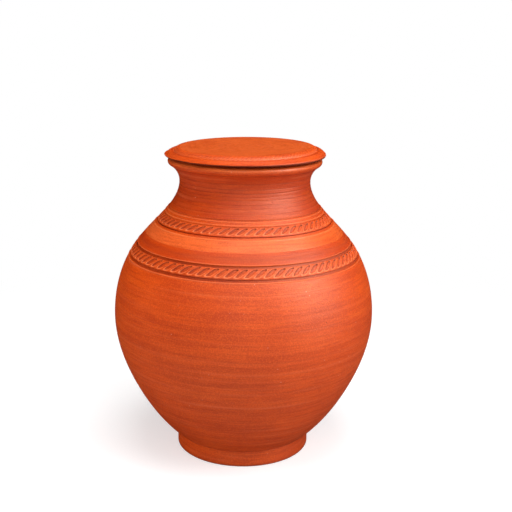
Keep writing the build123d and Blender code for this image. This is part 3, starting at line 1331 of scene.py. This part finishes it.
@dataclass
class FootRing:
    """The turned ring that the jar stands on."""

    radius: float = 72.6
    height: float = 18.4
    width: float = 13.0
    edge_radius: float = 1.6
    inner_batter: float = 3.0
    edge_painted_shade: float = 0.75
    dark_rise: float = 3.6
    rings: Rings = Rings(0.12, 2.6, 29.0)
    steps: int = 18
    sides: int = 256
    piece: bpy.types.Object | None = None

    MARGIN = 0.4
    INSIDE_SHARES = (0.05, 0.3, 0.6, 0.9, 1.0)

    def section(self) -> SectionDraft:
        """Draw the ring, from the inside of its lower edge round and back."""
        inner = (self.radius - self.width, 0.0)
        inner_top = (self.radius - self.width - self.inner_batter, self.height)
        outer = (self.radius, 0.0)
        outer_top = (self.radius, self.height)
        inner_edge = round_corner(inner_top, inner, outer, self.edge_radius, 6)
        outer_edge = round_corner(inner, outer, outer_top, self.edge_radius, 8)
        low = outer_edge[-1][1]
        rise = (self.height - low) / self.steps
        side = [(self.radius, low + rise * i) for i in range(1, self.steps + 1)]
        draft = SectionDraft()
        draft.add([*inner_edge[3:], (self.radius - self.width / 2, 0.0)], Skin.INSIDE)
        # Painted shade along the lower edge, where the ring meets the floor, fading out over
        # dark_rise.
        for point in outer_edge + side:
            dark = self.edge_painted_shade * max(1.0 - point[1] / self.dark_rise, 0.0)
            draft.add([point], Skin.WHEEL, dark)
        top = (self.radius - self.MARGIN, inner_top[0] + self.MARGIN, inner_top[0])
        draft.add([(radius, self.height) for radius in top], Skin.INSIDE)
        back, edge = Vector(inner_top), Vector(inner_edge[0])
        draft.add([tuple(back.lerp(edge, x)) for x in self.INSIDE_SHARES], Skin.INSIDE)
        draft.add(inner_edge[:4], Skin.INSIDE)
        return draft

    def build(self, wheel: Wheel, clay: bpy.types.Material) -> None:
        """Turn the ring."""
        values = {"Sides": self.sides} | self.rings.values()
        tree = wheel.tree("turned_piece")
        self.piece = wheel.throw("foot_ring_clay", self.section(), tree, clay, values)

    def dress(self) -> None:
        """Put the ring in place of its CAD node."""
        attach(self.piece, "jar")
        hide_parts("foot_ring")


@dataclass
class Lid:
    """The loose disc lid and the collar that keeps it in the mouth.

    Attributes hold its sizes in millimetres. Four of them hold painted shade: under_edge has
    places under the edge, as (distance in, share of the edge's lift, dark), edge_shades goes up
    the rounded lower edge, side_painted_shade fades up the side by side_fade, and
    groove_painted_shade belongs to the groove at the step's foot.
    """

    base_height: float = 321.2
    radius: float = 84.8
    lower_edge_radius: float = 2.2
    edge_lift: float = 0.7
    under_edge: tuple[tuple[float, ...], ...] = ((5.0, 0.0, 1.2), (3.2, 0.3, 1.2), (1.4, 0.8, 1.4))
    edge_shades: tuple[float, ...] = (1.4, 1.4, 1.35, 1.25, 1.1, 0.95, 0.80, 0.62, 0.45)
    flange_shoulder_radius: float = 82.3
    flange_shoulder_height: float = 6.2
    flange_top_radius: float = 78.8
    flange_height: float = 8.1
    step_foot_radius: float = 75.8
    step_foot_drop: float = 0.4
    step_top_radius: float = 70.0
    step_bulge_share: float = 0.15
    step_count: int = 16
    height: float = 11.8
    dish_depth: float = 1.0
    recess_depth: float = 3.2
    groove_depth: float = 0.22
    groove_painted_shade: float = 0.25
    groove_lead: tuple[Point, ...] = ((1.6, 0.22), (0.6, 0.08))
    side_painted_shade: float = 0.24
    side_fade: float = 0.12
    level_height: float = 1.5
    slope_right: float = 0.70
    slope_back: float = 0.65
    collar_radius: float = 59.3
    collar_thickness: float = 6.5
    collar_depth: float = 14.0
    collar_edge_radius: float = 2.0
    collar_sides: int = 192
    marks: Marks = Marks(100, 5, 5.4, 2.7, 0.26, 36.0, dark=0.40, edge=0.85, steps=6)
    plate_rings: Rings = Rings(0.10, 3.6, 47.0)
    collar_rings: Rings = Rings(0.15, 3.0, 61.0)
    plate: bpy.types.Object | None = None
    collar: bpy.types.Object | None = None

    MARGIN = 0.4
    DROP_SHARES = (0.03, 0.2, 0.4, 0.6, 0.8)

    def plate_section(self) -> SectionDraft:
        """Draw the plate, from the middle of its underside round to the middle of its top."""
        base, rise = self.base_height, self.edge_lift
        bore = self.collar_radius - self.collar_thickness
        recess = [(bore - self.recess_depth) * x for x in (0, 0.05, 0.3, 0.6, 0.85, 1)]
        edge = (self.radius - self.lower_edge_radius, base + rise + self.lower_edge_radius)
        draft = SectionDraft()
        draft.add([(radius, base + self.recess_depth) for radius in recess], Skin.INSIDE)
        seat = (bore, bore + 3.0, self.step_foot_radius)
        draft.add([(radius, base) for radius in seat], Skin.INSIDE)
        # Painted shade under the edge, up the rounded lower edge, fading up the side, and in the
        # groove.
        for back, lift, dark in self.under_edge:
            draft.add([(edge[0] - back, base + rise * lift)], Skin.INSIDE, dark)
        curve = arc(edge, self.lower_edge_radius, -90.0, 0.0, len(self.edge_shades) - 1)
        for point, shade in zip(curve, self.edge_shades):
            draft.add([point], painted_shade=shade)
        shoulder = (self.flange_shoulder_radius, base + self.flange_shoulder_height)
        flange = (self.flange_top_radius, base + self.flange_height)
        side = [(self.radius, edge[1]), shoulder, flange]
        for point in smooth_line(side, (0.0, 1.0), (-1.0, 0.0), 0.7)[1:]:
            dark = self.side_painted_shade - self.side_fade * (point[1] - edge[1])
            draft.add([point], painted_shade=max(dark, 0.0))
        foot = (self.step_foot_radius, flange[1] - self.step_foot_drop)
        draft.add([(foot[0] + out, foot[1] + up) for out, up in self.groove_lead])
        draft.add([(foot[0] + 0.1, foot[1] - self.groove_depth)], painted_shade=self.groove_painted_shade)
        top = (self.step_top_radius, base + self.height)
        path = self.step_path(foot, top)
        for i in range(1, self.step_count + 1):
            run = path.length * i / self.step_count
            draft.add([path.beside(run, 0.0)], across=run - path.length / 2)
        middle = (0.0, top[1] - self.dish_depth)
        dish = smooth_line([top, middle], (-1.0, 0.0), (-1.0, 0.0), 1.6)
        draft.add([*dish[1:-1], (0.4, middle[1]), middle], Skin.BURNISHED)
        return draft

    def step_path(self, foot: Point, top: Point) -> SectionPath:
        """Draw the bulging step that carries the rope marks."""
        a, b = Vector(foot), Vector(top)
        chord = b - a
        sagitta = chord.length * self.step_bulge_share
        radius = (chord.length**2 / 4 + sagitta**2) / (2 * sagitta)
        out = Vector((chord.y, -chord.x)).normalized()
        centre = (a + b) / 2 + out * (sagitta - radius)
        first, last = (
            math.degrees(math.atan2(end.y - centre.y, end.x - centre.x)) for end in (a, b)
        )
        return SectionPath(arc(tuple(centre), radius, first, last, 24))

    def collar_section(self) -> SectionDraft:
        """Draw the collar, from the inside of its lower edge round and back."""
        outer, inner = self.collar_radius, self.collar_radius - self.collar_thickness
        low, high = self.base_height - self.collar_depth, self.base_height
        corners = (inner, high), (inner, low), (outer, low), (outer, high)
        inner_edge = round_corner(*corners[:3], self.collar_edge_radius, 6)
        outer_edge = round_corner(*corners[1:], self.collar_edge_radius, 6)
        drops = [(high - outer_edge[-1][1]) * x for x in self.DROP_SHARES]
        draft = SectionDraft()
        line = inner_edge[3:] + outer_edge
        line += [(outer, high - drop) for drop in reversed(drops)]
        line += [(radius, high) for radius in (outer, outer - self.MARGIN, inner + self.MARGIN)]
        line += [(inner, high - drop) for drop in (0.0, *drops)]
        draft.add(line + inner_edge[:4], Skin.INSIDE)
        return draft

    def build(
        self, wheel: Wheel, clay: bpy.types.Material, collar_clay: bpy.types.Material
    ) -> None:
        """Throw the plate and the collar."""
        slope = {
            "Slope Right": math.radians(self.slope_right),
            "Slope Back": math.radians(self.slope_back),
            "Low": (self.base_height + self.level_height) * MM,
            "High": (self.base_height + self.flange_shoulder_height) * MM,
            "Reach": self.step_top_radius * MM,
        }
        tree = wheel.tree("uneven_piece", wheel.marks, wheel.slope)
        values = self.marks.values() | self.plate_rings.values() | slope
        self.plate = wheel.throw("lid_plate_clay", self.plate_section(), tree, clay, values)
        tree = wheel.tree("turned_piece")
        values = {"Sides": self.collar_sides} | self.collar_rings.values()
        section = self.collar_section()
        self.collar = wheel.throw("lid_collar_clay", section, tree, collar_clay, values)

    def dress(self) -> None:
        """Put the lid's two pieces in place of their CAD nodes."""
        for piece, node, slot in (
            (self.plate, "lid_plate", "lid_terracotta"),
            (self.collar, "lid_collar", "collar_terracotta"),
        ):
            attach(piece, "lid")
            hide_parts(node)


# ---------------------------------------------------------------------------
# Studio
# ---------------------------------------------------------------------------

WHITE = (1.0, 1.0, 1.0, 1.0)


@dataclass(frozen=True)
class SoftBox:
    """A large soft lamp.

    Attributes:
        name: the lamp's name.
        turn: how far it stands to the camera's right about the jar, in degrees.
        rise: how high it stands over the jar's middle, in degrees.
        distance: how far it stands from the jar's middle, in metres.
        size: width of its square face, in metres.
        power: its power, in watts.
        shines: whether it shows in the surface's sheen.
    """

    name: str
    turn: float
    rise: float
    distance: float
    size: float
    power: float
    shines: bool = False

    def place(self, aim: Vector) -> Vector:
        """Say where the lamp stands when it points at a place."""
        turn, rise = math.radians(self.turn), math.radians(self.rise)
        level = math.cos(rise)
        way = Vector((math.sin(turn) * level, -math.cos(turn) * level, math.sin(rise)))
        return aim + way * self.distance


@dataclass
class Studio:
    """White floor, soft lamps, and the camera at the photograph's place.

    Attributes:
        camera_distance: how far the camera stands in front of the jar's axis, in metres.
        camera_height: its height, in metres.
        pitch: how far it looks down, in degrees.
        yaw: how far it looks to the right, in degrees.
        roll: how far it leans to the left, in degrees.
        focal_pixels: its focal length, in pixels of the photograph.
        frame_pixels: the photograph's width, in pixels.
        sensor: width of its sensor, in millimetres.
        aim: where the lamps point, in metres.
        lamps: the lamps.
        world_strength: strength of the light that comes from all round.
        floor_half: half the floor's width, in metres.
        paper: shade of the floor under the jar, as the camera sees it.
        paper_glow: light of its own that lifts that shade to white.
        bounce: colour of the floor for the light that it throws back.
        sheen_floor: shade of the floor in the clay's sheen.
        fade_start: distance from the jar where the floor starts to turn plain white, in metres.
        fade_end: distance where it is plain white, in metres.
    """

    camera_distance: float = 0.984
    camera_height: float = 0.463
    pitch: float = 14.27
    yaw: float = 0.74
    roll: float = 0.74
    focal_pixels: float = 940.0
    frame_pixels: float = 512.0
    sensor: float = 36.0
    aim: tuple[float, float, float] = (0.0, 0.0, 0.17)
    lamps: tuple[SoftBox, ...] = (
        SoftBox("key_lamp", 64.0, 36.0, 1.5, 1.0, 15.0, True),
        SoftBox("low_right_lamp", 66.0, 3.0, 2.0, 0.9, 7.0, True),
        SoftBox("low_front_lamp", -4.0, 9.0, 2.4, 1.0, 10.0),
        SoftBox("high_front_lamp", 0.0, 42.0, 2.0, 1.4, 11.5),
        SoftBox("side_lamp", -82.0, 8.0, 1.8, 1.0, 14.5),
        SoftBox("top_lamp", 10.0, 80.0, 1.6, 1.0, 18.5),
    )
    world_strength: float = 0.04
    floor_half: float = 12.0
    paper: Colour = (0.62, 0.62, 0.62, 1.0)
    paper_glow: float = 0.55
    bounce: Colour = (0.55, 0.48, 0.43, 1.0)
    sheen_floor: Colour = (0.02, 0.02, 0.02, 1.0)
    fade_start: float = 0.30
    fade_end: float = 0.75

    def place_camera(self) -> None:
        """Stand the camera where the photograph was taken from."""
        pitch, yaw, roll = (math.radians(a) for a in (self.pitch, self.yaw, self.roll))
        level = math.cos(pitch)
        forward = Vector((math.sin(yaw) * level, math.cos(yaw) * level, -math.sin(pitch)))
        right = Vector((math.cos(yaw), -math.sin(yaw), 0.0))
        up = right.cross(forward)
        across = right * math.cos(roll) + up * math.sin(roll)
        upright = up * math.cos(roll) - right * math.sin(roll)
        data = bpy.data.cameras.new("photo_camera")
        data.sensor_width = self.sensor
        data.lens = self.focal_pixels / self.frame_pixels * self.sensor
        camera = add_object("photo_camera", data)
        turn = Matrix((across, upright, -forward)).transposed().to_4x4()
        stand = (0.0, -self.camera_distance, self.camera_height)
        camera.matrix_world = Matrix.Translation(stand) @ turn
        bpy.context.scene.camera = camera

    def hang_lamps(self) -> None:
        """Hang the soft lamps and point them at the jar."""
        for box in self.lamps:
            data = bpy.data.lights.new(box.name, "AREA")
            data.energy = box.power
            data.size = box.size
            lamp = add_object(box.name, data)
            lamp.visible_glossy = box.shines
            lamp.location = box.place(Vector(self.aim))
            way = Vector(self.aim) - lamp.location
            lamp.rotation_euler = way.to_track_quat("-Z", "Y").to_euler()

    def light_world(self) -> None:
        """Fill the world with pale light, and show it white behind the jar."""
        world = bpy.data.worlds.new("studio_world")
        bpy.context.scene.world = world
        world.use_nodes = True
        board = Board(world.node_tree)
        seen = board.calc("MAXIMUM", board.ray("Camera"), board.ray("Transmission"))
        strength = (1.0 - board.ray("Glossy")) * self.world_strength
        dim, white = (
            board.read("ShaderNodeBackground", {"Color": WHITE, "Strength": share})
            for share in (strength, 1.0)
        )
        mixed = board.read("ShaderNodeMixShader", {0: seen, 1: dim, 2: white})
        board.add("ShaderNodeOutputWorld", {"Surface": mixed})

    def lay_floor(self) -> None:
        """Lay a wide floor that looks white to the camera and keeps the jar's soft shadow."""
        half = self.floor_half
        mesh = bpy.data.meshes.new("studio_floor")
        corners = [(-half, -half, 0.0), (half, -half, 0.0), (half, half, 0.0), (-half, half, 0.0)]
        mesh.from_pydata(corners, [], [(0, 1, 2, 3)])
        floor = add_object("studio_floor", mesh)
        material = bpy.data.materials.new("floor_paper")
        material.use_nodes = True
        board = Board(material.node_tree)
        seen = board.ray("Camera")
        unseen = board.tint(board.ray("Glossy"), self.bounce, self.sheen_floor)
        colour = board.tint(seen, unseen, self.paper)
        paper = board.read("ShaderNodeBsdfDiffuse", {"Color": colour})
        glow, white = (
            board.read("ShaderNodeEmission", {"Color": WHITE, "Strength": strength})
            for strength in (seen * self.paper_glow, 1.0)
        )
        near = board.read("ShaderNodeAddShader", {0: paper, 1: glow})
        away = board.vector("LENGTH", board.read("ShaderNodeTexCoord", None, "Object"))
        far = board.ramp(away, self.fade_start, self.fade_end) * seen
        mixed = board.read("ShaderNodeMixShader", {0: far, 1: near, 2: white})
        board.add("ShaderNodeOutputMaterial", {"Surface": mixed})
        mesh.materials.append(material)

    def build(self) -> None:
        """Set up the whole studio."""
        bpy.context.scene.view_settings.view_transform = "Standard"
        self.place_camera()
        self.hang_lamps()
        self.light_world()
        self.lay_floor()


def report(piece: bpy.types.Object) -> None:
    """Log what a finished piece holds."""
    mesh = piece.data
    triangles = sum(len(p.vertices) - 2 for p in mesh.polygons)
    log.info("%s: %d points, %d triangles", piece.name, len(mesh.vertices), triangles)


def main() -> None:
    """Build the jar, dress its CAD nodes and set up the studio."""
    logging.basicConfig(level=logging.INFO, format="%(name)s: %(message)s")
    groups = streaks_group(), grain_group()
    body_clay, foot_clay, band_clay, lid_clay, collar_clay = (
        finish.build(*groups)
        for finish in (
            ClayFinish("body_clay"),
            ClayFinish("foot_clay", 5.0, fine_spacing=0.8, broad_spacing=3.0),
            ClayFinish("band_clay", 9.0, broad_spacing=4.0, line_bump=0.03),
            ClayFinish(
                "lid_clay", 13.0, broad_spacing=6.0, fine_spacing=3.4, wander=1.5, rub_share=0.8
            ),
            ClayFinish("collar_clay", 21.0, roughness=0.7),
        )
    )
    wheel = Wheel()
    shape = WallShape()
    wall = shape.path()
    bands = [
        RopeBand("upper_rope_band", 0.742, 10.8, 0.35, 1.3, Marks(63, 1, 8.0, 5.3)),
        RopeBand("lower_rope_band", 0.466, 11.0, 2.7, 2.7, Marks(79, 2, 9.0, 6.0)),
    ]
    body, foot, lid = JarBody(shape, bands), FootRing(), Lid()
    body.build(wheel, body_clay)
    body.dress()
    for band in bands:
        band.build(wheel, wall, shape, band_clay)
        band.dress()
    foot.build(wheel, foot_clay)
    foot.dress()
    lid.build(wheel, lid_clay, collar_clay)
    lid.dress()
    for made in (body, *bands, foot):
        report(made.piece)
    report(lid.plate)
    report(lid.collar)
    Studio().build()


if __name__ == "__main__":
    main()
